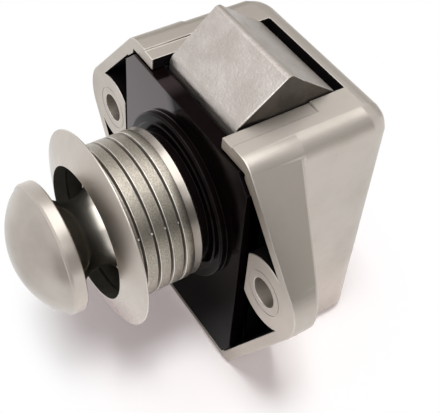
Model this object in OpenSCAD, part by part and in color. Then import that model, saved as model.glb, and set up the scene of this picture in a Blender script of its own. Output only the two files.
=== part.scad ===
// Push button cabinet lock: a knob that pops out works a sprung, double bevelled bolt.
// X runs across the lock, Y from the front of the door towards the back of the lock, and Z up.
// The origin is on the knob's axis, in the rim plane that lies against the back of the door.

/* [Lock case] */
// Width of the case behind the ears
body_w = 30.2; // [30:0.2:32]
// Height of the case's top face above the knob's axis
case_top = 17.7; // [17.6:0.1:18.6]
// Depth of the case's bottom edge below the knob's axis
case_low = 23.9; // [23.6:0.1:26]
// Depth of the case from its rim to its back
case_d = 23; // [23:0.2:26]
// Thickness of the case's side walls
wall = 1.6; // [1.3:0.1:1.7]
// Radius of the long rounded edges on both sides of the top face
edge_r = 3.1; // [2.4:0.1:3.4]
// Width of the slot in the top face
slot_w = 16.7; // [16.7:0.1:17.4]
// Depth of the shallow step beside the slot
step_d = 0.25; // [0.1:0.05:0.4]

/* [Ears] */
// Distance between the two screw holes
screw_pitch = 40.2; // [39.6:0.2:42]
// Diameter of the two screw holes
screw_hole_d = 4.2; // [3.6:0.1:4.6]
// Radius of the rounded end of an ear
ear_r = 6.6; // [6.2:0.1:7]
// Thickness of an ear at its tip
ear_t = 3.9; // [3.4:0.1:5]

/* [Front plate] */
// How far the front plate stands in front of the rim
plate_proud = 0.4; // [0.2:0.1:0.6]
// Outside diameter of the barrel
barrel_d = 19.8; // [19.4:0.1:20]
// How far the barrel reaches in front of the rim
barrel_l = 10.3; // [9:0.1:10.4]
// Diameter of the collar that centres the lock in the door's hole
collar_d = 24.4; // [23.4:0.2:25.4]

/* [Rosette] */
// Outside diameter of the flange
flange_d = 28; // [26:0.5:32]
// Thickness of the grooved sleeve round the barrel
sleeve_wall = 1; // [0.9:0.05:1.4]
// Distance from the rim to the sleeve's back end
sleeve_gap = 3.1; // [2.6:0.1:3.6]
// Length of the rosette from the sleeve's back end to its front edge
rosette_l = 11.85; // [11:0.05:13]
// Depth of the ring grooves in the sleeve
groove_d = 0.3; // [0.15:0.05:0.4]

/* [Knob] */
// Diameter of the knob's head
knob_d = 18.4; // [17.6:0.1:18.6]
// Distance from the rim to the back of the knob's head, knob out
head_y = 19.1; // [19.1:0.1:20]
// Thickness of the band round the knob's head
band_t = 2.6; // [1.8:0.1:3.4]
// Height of the dome on the knob's head
dome_h = 3.5; // [2:0.1:4.5]
// Radius of the knob's waist
waist_r = 4.9; // [4.2:0.1:5.6]
// Full travel of the knob, a little past the point where it stays in
knob_travel = 8.5; // [8:0.1:8.5]

/* [Bolt and lift] */
// Width of the bolt
bolt_w = 16.4; // [15.6:0.1:16.4]
// Height of the bolt's apex above the top face, knob out
bolt_rise = 5.4; // [4.6:0.1:5.6]
// Distance from the rim to the bolt's apex
apex_y = 9.7; // [9:0.1:10.6]
// Extra height of the bolt with the knob pushed in
lift_h = 4; // [3:0.1:4.2]

/* [Hidden] */
$fn = 64;

// clearances: a shaft in its bore, flat guides, flat ends, a push fit, and how far a cut runs past a face
run_c = 0.08;
slide_c = 0.2;
end_c = 0.3;
fit_c = 0.03;
over = 1;

// inside of the case
hw = body_w / 2;
top_wall = 2;
back_wall = 2;
recess_d = 2;
in_top = case_top - top_wall;
in_low = -case_low + wall;
in_back = case_d - back_wall;
in_hw = hw - wall;

// ears: the directions of their two tangent sides, and how their back slopes outwards
// the round end stands out of its tangent sides by swell, so that they meet at an edge
ear_x = screw_pitch / 2;
ear_tip = ear_x + ear_r;
up_a = 40.3;
low_a = -29.1;
ear_slope = 0.33;
ear_skin = 1.5;
boss_wall = 1.1;
swell = 0.02;

// rounded edges of the case: at the back of the sides, of the top and of the bottom, and along the bottom
back_r = 4;
top_edge_r = 5;
low_edge_r = 2;
foot_r = 2.5;
rim_low_r = 1.4;
// fill of the case's two upper back corners, which starts beside the cage
corner_w = 1.8;

// shallow step beside the slot
step_w = 2.05;
step_hw = slot_w / 2 + step_w;
step_y1 = 13;

// front plate: collar_y is the collar's front, and plate_cut cuts its two upper corners
plate_hw = hw - slide_c;
plate_top = in_top - slide_c;
plate_cut = 2.3;
barrel_r = barrel_d / 2;
barrel_wall = 1.5;
bore_r = barrel_r - barrel_wall;
collar_r = collar_d / 2;
collar_y = -1.5;
collar_edge = 0.3;
thread_p = 1;
thread_h = 0.35;
thread_y = 0.8;

// posts of the front plate, and the screws in them
post_r = 1.8;
post_x = 11.5;
post_z = [11, -17.5];
post_at = [for (x = [-post_x, post_x], z = post_z) [x, z]];
root_l = 0.5;
case_screw_r = 0.9;
case_head_r = 1.5;
case_head_h = 0.8;
case_screw_l = 6.5;
head_sunk = 0.1;
cross_w = 0.4;
cross_l = 1.8;

// where the bolt, the guide cage's back wall and the slot end
bolt_hw = bolt_w / 2;
back_room = 1.9;
back_t = 1.6;
back_y1 = in_back - back_room;
back_y0 = back_y1 - back_t;
bolt_y0 = recess_d + end_c;
bolt_y1 = back_y0 - end_c;
slot_gap = 1.45;
slot_y1 = bolt_y1 + slot_gap;

// guide cage
guide_in = bolt_hw + slide_c;
guide_t = 1.2;
guide_out = guide_in + guide_t;
cage_low = -10;
beam_hw = 4.6;
beam_z1 = -6.7;
beam_z0 = -8.2;
pin_way = 0.3;

// rosette, from its front edge: the end of its lip, the rim, the back of the flange and the first groove
lip_l = 1.8;
bore_front = 2.4;
rim_y = 1.5;
rim_t = 0.25;
flange_back = 2.6;
groove_y = 3;
groove_n = 4;
groove_p = 1.91;
groove_w = 0.3;
sleeve_edge = 0.4;

// knob and plunger: the round groove of the waist has its middle at neck_y
neck_out = 0.8;
neck_back = -(barrel_l + neck_out);
groove_r = (head_y + neck_back) / 2;
neck_y = (neck_back - head_y) / 2;
band_edge = 0.3;
spigot_r = 3.5;
spigot_l = 2.5;
disc_r = bore_r - run_c;
disc_y1 = recess_d - slide_c - knob_travel;
stem_hw = 5;
stop_gap = 0.4;
stem_back = in_back - stop_gap - knob_travel;

// ramp pin, in the middle of its travel along the slider
pin_r = 1;
pin_y = (bolt_y0 + bolt_y1 - knob_travel) / 2;
pin_z = 3.2;
pin_floor = 0.7;

// return spring in the stem, and the screw in front of it
spring_floor = pin_y + pin_r + pin_floor;
spring_hole_r = 2.9;
spring_r = 2.25;
spring_wire = 0.33;
spring_n = 12;
knob_screw_r = 1;
knob_screw_grip = 1.8;
knob_head_r = 1.55;
knob_head_h = 1.1;

// heart track under the stem, and the follower in it: its arm swings through swing_a
track_end = 1.7;
tip_y = stem_back - track_end;
tip_r = 0.55;
bend_r = tip_r * 1.1;
track_d = 1.3;
track_c = 0.25;
swing_a = 35;
pivot_gap = 0.8;
pivot_y = back_y0 - pivot_gap;
arm_l = (pivot_y - tip_y) / cos(swing_a / 2);
swing_x = arm_l * sin(swing_a / 2);
bow = arm_l * (1 - cos(swing_a / 2));
latch_back = 0.8;
latch_travel = knob_travel - latch_back;
leaf_hw = 3.4;
leaf_t = 0.2;
leaf_front = 1.5;

// lift slider: two cheeks, a bridge over the stem and two lugs
cheek_t = 1.4;
cheek_in = stem_hw + slide_c;
cheek_out = cheek_in + cheek_t;
cheek_low = -3.2;
bridge_z0 = 6;
bridge_z1 = 7.6;
lug_hw = 1;
lug_z0 = 3.7;
lug_z1 = 5.6;
slot_c = 0.1;

// bolt: the slopes of its nose, its skirts, and the windows in them that the lugs run in
apex_z = case_top + bolt_rise;
front_slope = 38.5;
rear_slope = 36.5;
apex_r = 0.9;
bolt_low = bridge_z1 + bolt_rise + slide_c;
skirt_in = cheek_out + slide_c;
skirt_low = -1;
window_hw = 1.2;
window_c = 0.15;

// pockets of the two bolt springs
pocket_x = 4.4;
pocket_r = 1.95;
pocket_d = 5;
pocket_top = bolt_low + pocket_d;
seat_d = 0.6;
seat_z = bridge_z1 - seat_d;
bolt_spring_r = 1.5;
bolt_spring_wire = 0.25;
bolt_spring_n = 10;

// Turns a flat outline in X and Z into a slab from y0 to y1.
module slab(y0, y1) {
    translate([0, y1, 0])
        rotate([90, 0, 0])
            linear_extrude(height = y1 - y0)
                children();
}

// Copies its children to both sides of the lock.
module both_sides() {
    children();
    mirror([1, 0, 0])
        children();
}

// A round bar along Y from y0 to y1.
module bar_y(x, z, r, y0, y1) {
    translate([x, y1, z])
        rotate([90, 0, 0])
            cylinder(r = r, h = y1 - y0);
}

// A box between two corners.
module span(a, b) {
    translate(a)
        cube(b - a);
}

// Turns a profile of radius and distance along the axis round the knob's axis.
// The profile's second value runs towards the back of the lock.
module turned() {
    rotate([-90, 0, 0])
        rotate_extrude()
            children();
}

// Outline of the rim, set in by d, for the right half from the middle outwards.
module rim_half(d, top_d, corner_r) {
    top = case_top - top_d;
    low = case_low - d;
    r = ear_r - d;
    up_off = ear_x * cos(up_a) + r;
    low_off = ear_x * cos(low_a) + r;
    xt = (up_off - top * sin(up_a)) / cos(up_a);
    xl = (low_off + low * sin(low_a)) / cos(low_a);
    cut = corner_r * tan((90 - up_a) / 2);
    low_r = max(0.3, rim_low_r - d);
    low_cut = low_r * tan((90 + low_a) / 2);
    polygon([
        [0, -low],
        [xl - low_cut, -low],
        [xl + low_cut * cos(90 + low_a), -low + low_cut * sin(90 + low_a)],
        [ear_x + r * cos(low_a), r * sin(low_a)],
        [ear_x + r * cos(up_a), r * sin(up_a)],
        [xt + cut * sin(up_a), top - cut * cos(up_a)],
        [xt - cut, top],
        [0, top]
    ]);
    translate([ear_x, 0])
        circle(r = r + swell);
    translate([xt - cut, top - corner_r])
        circle(r = corner_r);
    translate([xl - low_cut, -low + low_r])
        circle(r = low_r);
}

// Box with round long edges on top, at the back corners and along the back of the top.
module case_block() {
    intersection() {
        slab(0, case_d)
            both_sides()
                intersection() {
                    rim_half(0, 0, edge_r);
                    union() {
                        translate([0, -case_low + foot_r])
                            square([hw, case_low + case_top]);
                        translate([0, -case_low - over])
                            square([hw - foot_r, foot_r + 2 * over]);
                        translate([hw - foot_r, -case_low + foot_r])
                            circle(r = foot_r);
                    }
                }
        translate([0, 0, -case_low])
            linear_extrude(height = case_low + case_top)
                union() {
                    translate([-hw, 0])
                        square([2 * hw, case_d - back_r]);
                    translate([-(hw - back_r), 0])
                        square([2 * (hw - back_r), case_d]);
                    both_sides()
                        translate([hw - back_r, case_d - back_r])
                            circle(r = back_r);
                }
        translate([-hw, 0, 0])
            rotate([90, 0, 90])
                linear_extrude(height = 2 * hw)
                    union() {
                        translate([0, -case_low])
                            square([case_d - back_r, case_low + case_top]);
                        translate([0, -case_low + low_edge_r])
                            square([case_d, case_low + case_top - low_edge_r - top_edge_r]);
                        translate([case_d - top_edge_r, case_top - top_edge_r])
                            circle(r = top_edge_r);
                        translate([0, case_top - top_edge_r])
                            square([case_d - top_edge_r, top_edge_r]);
                        translate([case_d - low_edge_r, -case_low + low_edge_r])
                            circle(r = low_edge_r);
                        translate([0, -case_low])
                            square([case_d - low_edge_r, low_edge_r]);
                    }
    }
}

// Space in front of the sloping back of both ears, which ends d short of it.
module ear_depth(d) {
    inner_x = hw - root_l;
    inner_y = ear_t - d + ear_slope * (ear_tip - inner_x);
    translate([0, 0, -case_low - over])
        linear_extrude(height = case_low + case_top + 2 * over)
            both_sides()
                polygon([
                    [0, -over],
                    [ear_tip + over, -over],
                    [ear_tip + over, ear_t - d - ear_slope * over],
                    [inner_x, inner_y],
                    [0, inner_y]
                ]);
}

// Cast case: a box open to the front with two hollow ears and a slot for the bolt.
module case_shell() {
    color([0.66, 0.63, 0.6])
        difference() {
            union() {
                case_block();
                intersection() {
                    slab(0, case_d / 2)
                        both_sides()
                            rim_half(0, 0, edge_r);
                    ear_depth(0);
                }
            }
            // inside of the box, thicker in the two corners behind the round back edge of the top
            difference() {
                span([-in_hw, -over, in_low], [in_hw, in_back, in_top]);
                both_sides()
                    translate([guide_out + 2 * end_c, 0, 0])
                        rotate([90, 0, 90])
                            linear_extrude(height = in_hw)
                                polygon([
                                    [in_back - corner_w - over, in_top + over],
                                    [in_back + over, in_top + over],
                                    [in_back + over, in_top - corner_w - over]
                                ]);
            }
            // seat of the front plate in the front edges of the side walls
            slab(-over, recess_d)
                plate_outline(slide_c);
            // hollow ears around the screw bosses
            intersection() {
                slab(-over, case_d / 2)
                    both_sides()
                        difference() {
                            rim_half(wall, top_wall, rim_low_r);
                            intersection() {
                                translate([ear_x, 0])
                                    circle(r = ear_r - boss_wall);
                                translate([hw + over, -ear_r])
                                    square([ear_r * 2, ear_r * 2]);
                            }
                            translate([-over, -case_low])
                                square([hw + over, case_low + case_top]);
                        }
                ear_depth(ear_skin);
            }
            // slot for the bolt, open to the front
            span([-slot_w / 2, -over, in_top - over], [slot_w / 2, slot_y1, case_top + over]);
            span([-step_hw, -over, case_top - step_d], [step_hw, step_y1, case_top + over]);
            // screw holes through both ears
            both_sides()
                bar_y(ear_x, 0, screw_hole_d / 2, -over, case_d);
            // holes for the screws that hold the front plate
            for (p = post_at)
                bar_y(p[0], p[1], case_screw_r + slide_c, in_back - over, case_d + over);
            for (p = post_at)
                bar_y(p[0], p[1], case_head_r + slide_c, case_d - case_head_h - head_sunk, case_d + over);
        }
}

// Outline of the front plate, grown by c.
module plate_outline(c) {
    w = plate_hw + c;
    t = plate_top + c;
    intersection() {
        polygon([
            [-w, -case_low],
            [w, -case_low],
            [w, t - plate_cut],
            [w - plate_cut, t],
            [-w + plate_cut, t],
            [-w, t - plate_cut]
        ]);
        both_sides()
            rim_half(wall + slide_c - c, top_wall + slide_c - c, 0.6);
    }
}

// Barrel with thread ridges that end in front of the collar.
module barrel() {
    ridges = floor((barrel_l + collar_y - thread_p) / thread_p);
    turned()
        difference() {
            translate([0, -barrel_l])
                square([barrel_r, barrel_l + root_l]);
            for (i = [0 : ridges - 1])
                translate([barrel_r, -barrel_l + thread_y + i * thread_p])
                    polygon([[0.01, 0], [-thread_h, thread_p * 0.35],
                             [-thread_h, thread_p * 0.5], [0.01, thread_p * 0.75]]);
        }
    turned()
        polygon([
            [0, collar_y],
            [collar_r - collar_edge, collar_y],
            [collar_r, collar_y + collar_edge],
            [collar_r, root_l],
            [0, root_l]
        ]);
}

// Front plate: collar, threaded barrel and four screw posts in one piece.
module front_plate() {
    color([0.07, 0.06, 0.06])
        difference() {
            union() {
                slab(-plate_proud, recess_d)
                    plate_outline(0);
                barrel();
                for (p = post_at)
                    bar_y(p[0], p[1], post_r, recess_d - root_l, in_back);
            }
            bar_y(0, 0, bore_r, -barrel_l - over, recess_d + over);
            for (p = post_at)
                bar_y(p[0], p[1], case_screw_r + fit_c, in_back - case_screw_l - end_c, in_back + over);
        }
}

// Guide cage: two side walls, a back wall with the stem's window and a beam under the stem.
module guide_cage() {
    window = stem_hw + end_c;
    wall_hw = guide_in + root_l;
    color([0.09, 0.09, 0.1])
        difference() {
            union() {
                both_sides()
                    span([guide_in, recess_d, cage_low], [guide_out, in_back, plate_top]);
                span([-wall_hw, back_y0, cage_low], [wall_hw, back_y1, plate_top]);
                span([-wall_hw, recess_d, cage_low], [wall_hw, recess_d + back_t, beam_z1]);
                span([-beam_hw, recess_d, beam_z0], [beam_hw, back_y0 + root_l, beam_z1]);
            }
            span([-window, back_y0 - over, -window], [window, back_y1 + over, window]);
            // hole that the ramp pin is put in through
            translate([0, pin_y, pin_z])
                rotate([0, 90, 0])
                    cylinder(r = pin_r + pin_way, h = hw);
            // pivot hole of the follower
            translate([0, pivot_y, beam_z0 - over])
                cylinder(r = tip_r + run_c, h = beam_z1 - beam_z0 + 2 * over);
        }
}

// Rosette: a flange and a grooved sleeve that screws on the barrel from the front of the door.
module rosette() {
    back = -sleeve_gap;
    front = back - rosette_l;
    lip_r = knob_d / 2 + end_c;
    bore = barrel_r + run_c;
    sleeve_r = barrel_r + sleeve_wall;
    flange_r = flange_d / 2;
    color([0.66, 0.64, 0.6])
        turned()
            difference() {
                polygon([
                    [lip_r, front],
                    [flange_r, front + rim_y],
                    [flange_r, front + rim_y + rim_t],
                    [sleeve_r, front + flange_back],
                    [sleeve_r, back - sleeve_edge],
                    [sleeve_r - sleeve_edge, back],
                    [bore, back],
                    [bore, front + bore_front],
                    [lip_r, front + lip_l]
                ]);
                for (i = [0 : groove_n - 1])
                    translate([sleeve_r - groove_d, front + groove_y + i * groove_p])
                        square([over, groove_w]);
            }
}

// Knob: domed head, hourglass waist and a flared back with a spigot for the plunger.
module knob() {
    r = knob_d / 2;
    front = -head_y - band_t;
    dome_r = (pow(r - band_edge, 2) + pow(dome_h, 2)) / (2 * dome_h);
    color([0.68, 0.66, 0.62])
        difference() {
            turned()
                union() {
                    difference() {
                        translate([0, front])
                            square([r, neck_back - front]);
                        translate([waist_r + groove_r, neck_y])
                            circle(r = groove_r);
                        translate([disc_r, neck_y])
                            square([r, neck_back - neck_y + over]);
                        translate([r, front])
                            rotate(45)
                                square(band_edge * sqrt(2), center = true);
                    }
                    intersection() {
                        translate([0, front + dome_r - dome_h])
                            circle(r = dome_r);
                        translate([0, front - dome_h])
                            square([r, dome_h]);
                    }
                    translate([0, neck_back - root_l])
                        square([spigot_r, spigot_l + root_l]);
                }
            bar_y(0, 0, knob_screw_r + fit_c, neck_back - knob_screw_grip - end_c,
                  neck_back + spigot_l + over);
        }
}

// Heart shaped island that the follower's tip runs round.
module heart_island() {
    notch_y = tip_y - latch_travel - bow + tip_r;
    tail_y = tip_y - bow - 2 * tip_r;
    side = swing_x - tip_r - track_c;
    horn = side * 0.7;
    linear_extrude(height = track_d + root_l)
        polygon([
            [0, notch_y],
            [horn, notch_y - horn / 2],
            [side, notch_y + horn / 2],
            [side, notch_y + 2 * side],
            [0, tail_y],
            [-side, notch_y + 3 * side],
            [-side, notch_y + horn / 2],
            [-horn, notch_y - horn / 2]
        ]);
}

// Plunger: a disc that slides in the barrel and a square stem with the heart track below.
module plunger() {
    track_r = tip_r + track_c;
    color([0.1, 0.1, 0.1])
        difference() {
            union() {
                bar_y(0, 0, disc_r, neck_back, disc_y1);
                span([-stem_hw, disc_y1 - root_l, -stem_hw], [stem_hw, stem_back, stem_hw]);
            }
            bar_y(0, 0, spigot_r + fit_c, neck_back - over, neck_back + spigot_l + fit_c);
            bar_y(0, 0, knob_screw_r + run_c, neck_back - over, stem_back);
            bar_y(0, 0, spring_hole_r, spring_floor, stem_back + over);
            translate([-stem_hw - over, pin_y, pin_z])
                rotate([0, 90, 0])
                    cylinder(r = pin_r + fit_c, h = 2 * stem_hw + 2 * over);
            // heart track
            difference() {
                span([-swing_x - track_r, tip_y - knob_travel - bow - track_r, -stem_hw - over],
                     [swing_x + track_r, tip_y + track_r, -stem_hw + track_d]);
                translate([0, 0, -stem_hw])
                    heart_island();
            }
        }
}

// Cross recess of a screw head of height h, cut from its top in its middle.
module cross_recess(h) {
    cube([cross_l, h, cross_w], center = true);
    cube([cross_w, h, cross_l], center = true);
}

// Screw that holds the plunger on the knob.
module knob_screw() {
    color([0.75, 0.75, 0.76])
        difference() {
            union() {
                bar_y(0, 0, knob_screw_r, neck_back - knob_screw_grip, spring_floor + knob_head_h);
                bar_y(0, 0, knob_head_r, spring_floor, spring_floor + knob_head_h);
            }
            translate([0, spring_floor + knob_head_h, 0])
                cross_recess(knob_head_h);
        }
}

// Coils of a spring as one ribbed tube, length l along Z, n coils.
module coils(r, wire, l, n) {
    rotate_extrude()
        union() {
            for (i = [0 : n - 1])
                translate([r, wire + i * (l - 2 * wire) / (n - 1)])
                    circle(r = wire);
            translate([r - wire / 3, wire])
                square([wire * 2 / 3, l - 2 * wire]);
        }
}

// Spring that pushes the knob out.
module return_spring() {
    color([0.8, 0.8, 0.82])
        translate([0, spring_floor, 0])
            rotate([-90, 0, 0])
                coils(spring_r, spring_wire, in_back - spring_floor, spring_n);
}

// Cross pin that turns the push into the lift.
module ramp_pin() {
    color([0.75, 0.75, 0.76])
        translate([-cheek_out + slot_c, pin_y, pin_z])
            rotate([0, 90, 0])
                cylinder(r = pin_r, h = 2 * (cheek_out - slot_c));
}

// Lift slider: a saddle over the stem whose cheeks hold the sloping slots and the bolt's lugs.
module lift_slider() {
    slope = atan(lift_h / knob_travel);
    run = sqrt(lift_h * lift_h + knob_travel * knob_travel);
    slot_r = pin_r + slot_c;
    color([0.15, 0.15, 0.16])
        difference() {
            union() {
                both_sides() {
                    span([cheek_in, bolt_y0, cheek_low], [cheek_out, bolt_y1, bridge_z1]);
                    span([cheek_out - root_l, apex_y - lug_hw, lug_z0],
                         [bolt_hw - end_c, apex_y + lug_hw, lug_z1]);
                }
                span([-cheek_in - root_l, bolt_y0, bridge_z0], [cheek_in + root_l, bolt_y1, bridge_z1]);
            }
            for (x = [-pocket_x, pocket_x])
                translate([x, apex_y, seat_z])
                    cylinder(r = pocket_r, h = seat_d + over);
            translate([-bolt_hw, pin_y, pin_z])
                rotate([-slope, 0, 0]) {
                    rotate([0, 90, 0])
                        cylinder(r = slot_r, h = bolt_w);
                    translate([0, run, 0])
                        rotate([0, 90, 0])
                            cylinder(r = slot_r, h = bolt_w);
                    translate([0, 0, -slot_r])
                        cube([bolt_w, run, 2 * slot_r]);
                }
        }
}

// Outline of the bolt's nose in Y and Z.
module bolt_nose() {
    half = (front_slope + rear_slope) / 2;
    t = apex_r * tan(half);
    fy = apex_y - t * cos(front_slope);
    fz = apex_z - t * sin(front_slope);
    polygon([
        [bolt_y0, bolt_low],
        [bolt_y0, apex_z - (apex_y - bolt_y0) * tan(front_slope)],
        [fy, fz],
        [apex_y + t * cos(rear_slope), apex_z - t * sin(rear_slope)],
        [bolt_y1, apex_z - (bolt_y1 - apex_y) * tan(rear_slope)],
        [bolt_y1, bolt_low]
    ]);
    translate([fy + apex_r * sin(front_slope), fz - apex_r * cos(front_slope)])
        circle(r = apex_r);
}

// Cast bolt: a double bevelled nose on two skirts that hook over the slider's lugs.
module bolt() {
    color([0.64, 0.6, 0.57])
        difference() {
            union() {
                translate([-bolt_hw, 0, 0])
                    rotate([90, 0, 90])
                        linear_extrude(height = bolt_w)
                            bolt_nose();
                both_sides()
                    span([skirt_in, bolt_y0, skirt_low], [bolt_hw, bolt_y1, bolt_low + root_l]);
            }
            both_sides()
                span([cheek_in, apex_y - window_hw, lug_z0 - window_c],
                     [hw, apex_y + window_hw, lug_z1 + bolt_rise + window_c]);
            for (x = [-pocket_x, pocket_x])
                translate([x, apex_y, bolt_low - over])
                    cylinder(r = pocket_r, h = pocket_d + over);
            // hole that the ramp pin is put in through
            translate([0, pin_y, pin_z])
                rotate([0, 90, 0])
                    cylinder(r = pin_r + pin_way, h = hw);
        }
}

// One of the two springs between the slider and the bolt.
module bolt_spring(x) {
    color([0.8, 0.8, 0.82])
        translate([x, apex_y, seat_z])
            coils(bolt_spring_r, bolt_spring_wire, pocket_top - seat_z, bolt_spring_n);
}

// Bent wire whose tip runs in the heart track and holds the knob in.
module heart_follower() {
    z = -stem_hw - window_c - bend_r;
    color([0.75, 0.75, 0.76]) {
        translate([0, pivot_y, beam_z0])
            cylinder(r = tip_r, h = z - beam_z0);
        translate([0, pivot_y, z]) {
            sphere(r = bend_r);
            rotate([90, 0, -swing_a / 2])
                cylinder(r = tip_r, h = arm_l);
        }
        translate([-swing_x, tip_y, z]) {
            sphere(r = bend_r);
            cylinder(r = tip_r, h = track_d - run_c + bend_r);
        }
    }
}

// Thin leaf on the beam that keeps the follower up in the heart track.
module follower_leaf() {
    color([0.8, 0.8, 0.82])
        difference() {
            span([-leaf_hw, tip_y - leaf_front, beam_z1], [leaf_hw, back_y0, beam_z1 + leaf_t]);
            translate([0, pivot_y, beam_z1 - over])
                cylinder(r = tip_r + run_c, h = leaf_t + 2 * over);
        }
}

// Screws that hold the front plate in the case, put in from the back.
module case_screws() {
    y1 = case_d - head_sunk;
    color([0.75, 0.75, 0.76])
        for (p = post_at)
            difference() {
                union() {
                    bar_y(p[0], p[1], case_screw_r, in_back - case_screw_l, y1);
                    bar_y(p[0], p[1], case_head_r, y1 - case_head_h, y1);
                }
                translate([p[0], y1, p[1]])
                    cross_recess(case_head_h);
            }
}

case_shell();
front_plate();
guide_cage();
rosette();
knob();
plunger();
knob_screw();
return_spring();
ramp_pin();
lift_slider();
bolt();
bolt_spring(-pocket_x);  // bolt_spring_left
bolt_spring(pocket_x);  // bolt_spring_right
heart_follower();
follower_leaf();
case_screws();
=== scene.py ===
# %% [markdown]
# # A push button cabinet lock, dressed for its photograph
#
# The lock is a cast case that is screwed behind a cabinet door. A threaded barrel goes through
# the door, a rosette is screwed on it from the front, and a round knob pops out of the rosette.
# Pushing the knob lifts a sprung bolt out of the top of the case.
#
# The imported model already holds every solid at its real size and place. This lesson gives the
# lock its looks: soft cast edges, turned and blasted metal, glossy moulded plastic and coiled wire.

# %% Load the lock's frame
import math

import bpy
from mathutils import Matrix, Vector


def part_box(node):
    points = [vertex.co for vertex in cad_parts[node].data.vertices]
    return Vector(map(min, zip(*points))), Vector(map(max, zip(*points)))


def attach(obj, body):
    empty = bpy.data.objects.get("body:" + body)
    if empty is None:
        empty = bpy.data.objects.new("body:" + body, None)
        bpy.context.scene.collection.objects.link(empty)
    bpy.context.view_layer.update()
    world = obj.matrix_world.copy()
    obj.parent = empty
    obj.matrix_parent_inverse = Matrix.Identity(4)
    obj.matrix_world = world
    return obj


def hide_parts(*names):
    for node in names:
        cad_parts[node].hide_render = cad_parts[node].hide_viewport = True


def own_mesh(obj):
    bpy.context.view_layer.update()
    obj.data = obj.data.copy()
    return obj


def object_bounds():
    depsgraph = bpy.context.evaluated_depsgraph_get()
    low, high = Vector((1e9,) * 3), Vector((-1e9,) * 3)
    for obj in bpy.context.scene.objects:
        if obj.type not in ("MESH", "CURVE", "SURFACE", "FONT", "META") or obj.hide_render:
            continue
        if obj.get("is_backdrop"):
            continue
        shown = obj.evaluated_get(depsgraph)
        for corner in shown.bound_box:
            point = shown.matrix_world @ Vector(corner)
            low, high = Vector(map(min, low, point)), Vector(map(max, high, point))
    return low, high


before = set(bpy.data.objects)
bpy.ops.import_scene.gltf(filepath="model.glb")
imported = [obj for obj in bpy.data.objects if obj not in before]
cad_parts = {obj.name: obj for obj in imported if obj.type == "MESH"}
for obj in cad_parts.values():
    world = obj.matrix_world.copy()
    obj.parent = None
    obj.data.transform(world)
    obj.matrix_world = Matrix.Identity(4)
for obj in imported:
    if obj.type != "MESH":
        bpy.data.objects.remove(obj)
cad_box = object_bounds()
print("nodes:", ", ".join(sorted(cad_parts)))

# %% [markdown]
# ## Measures
#
# Blender's unit here is the metre, and the lock is about 50 mm across. Sizes are easier to read
# in millimetres, so each one is written that way and multiplied by MM where it is used.

# %% Measures
MM = 0.001


def mm(*values):
    """A point or a vector in metres, from millimetres."""
    return Vector([value * MM for value in values])


# %% [markdown]
# ## Camera
#
# The photographer looked down at the lock from its front right, with a long lens close by and
# the camera rolled a little. A camera can be placed by trial, but here it was worked out from
# the circles and straight edges of the lock, so it is written as the point it looks at, two
# angles, a roll and a distance.

# %% Camera
def add(name, data):
    """A new object in the scene."""
    obj = bpy.data.objects.new(name, data)
    bpy.context.scene.collection.objects.link(obj)
    return obj


PHOTO_WIDTH = 440
focal_pixels = 906.65
look_at = mm(4.83, 3.26, -0.09)
look_azimuth = math.radians(53.387)
look_elevation = math.radians(47.749)
look_roll = math.radians(5.124)
look_distance = 125 * MM

camera_data = bpy.data.cameras.new("camera")
camera_data.sensor_width = 36
camera_data.lens = focal_pixels * camera_data.sensor_width / PHOTO_WIDTH
camera_data.clip_start = 5 * MM
camera_data.clip_end = 20
camera = add("camera", camera_data)
bpy.context.scene.camera = camera

backwards = Vector((
    math.sin(look_azimuth) * math.cos(look_elevation),
    -math.cos(look_azimuth) * math.cos(look_elevation),
    math.sin(look_elevation),
))
level = (-backwards).to_track_quat("-Z", "Y").to_matrix()
camera.matrix_world = (
    Matrix.Translation(look_at + backwards * look_distance)
    @ (level @ Matrix.Rotation(look_roll, 3, "Z")).to_4x4()
)
print("camera at", [round(c / MM, 2) for c in camera.matrix_world.translation], "mm")

# %% [markdown]
# ## Pattern helpers
#
# A finish is built from a few effects that several materials share: slow mottling, casting
# grain, turning marks and edges worn bright by handling. Each effect is a node group with named
# inputs and one output, so a material only says how strong and how fine it wants it.
#
# The groups read Object coordinates. Those are real metres on every piece, so a grain of 0.2 mm
# is the same size on the case and on the bolt, whatever the mesh looks like.

# %% Node helpers
def feed(tree, value, socket):
    """Links an output socket to an input, or sets the input to a value."""
    if isinstance(value, bpy.types.NodeSocket):
        tree.links.new(value, socket)
    else:
        socket.default_value = value


def new_node(tree, kind, **inputs):
    """A new node. Each of its inputs gets an output socket or a value, and _ stands for a space."""
    node = tree.nodes.new("ShaderNode" + kind)
    for socket_name, value in inputs.items():
        feed(tree, value, node.inputs[socket_name.replace("_", " ")])
    return node


def new_group(name, inputs, output):
    """A node group. inputs maps a socket's name to its default, and output is one name."""
    tree = bpy.data.node_groups.new(name, "ShaderNodeTree")
    tree.interface.new_socket("Vector", in_out="INPUT", socket_type="NodeSocketVector")
    for socket_name, default in inputs.items():
        socket = tree.interface.new_socket(socket_name, in_out="INPUT", socket_type="NodeSocketFloat")
        socket.default_value = default
    tree.interface.new_socket(output, in_out="OUTPUT", socket_type="NodeSocketFloat")
    return tree, tree.nodes.new("NodeGroupInput"), tree.nodes.new("NodeGroupOutput")


def math_node(tree, operation, first, second=None, clamp=False):
    """A Math node's value. Each of first and second is an output socket or a number."""
    node = new_node(tree, "Math")
    node.operation = operation
    node.use_clamp = clamp
    feed(tree, first, node.inputs[0])
    if second is not None:
        feed(tree, second, node.inputs[1])
    return node.outputs["Value"]


def noise_node(tree, vector, scale, detail=2.0, roughness=0.5):
    """A Noise texture's value, from 0 to 1."""
    node = new_node(tree, "TexNoise", Vector=vector, Scale=scale, Detail=detail, Roughness=roughness)
    return node.outputs["Fac"]


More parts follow.
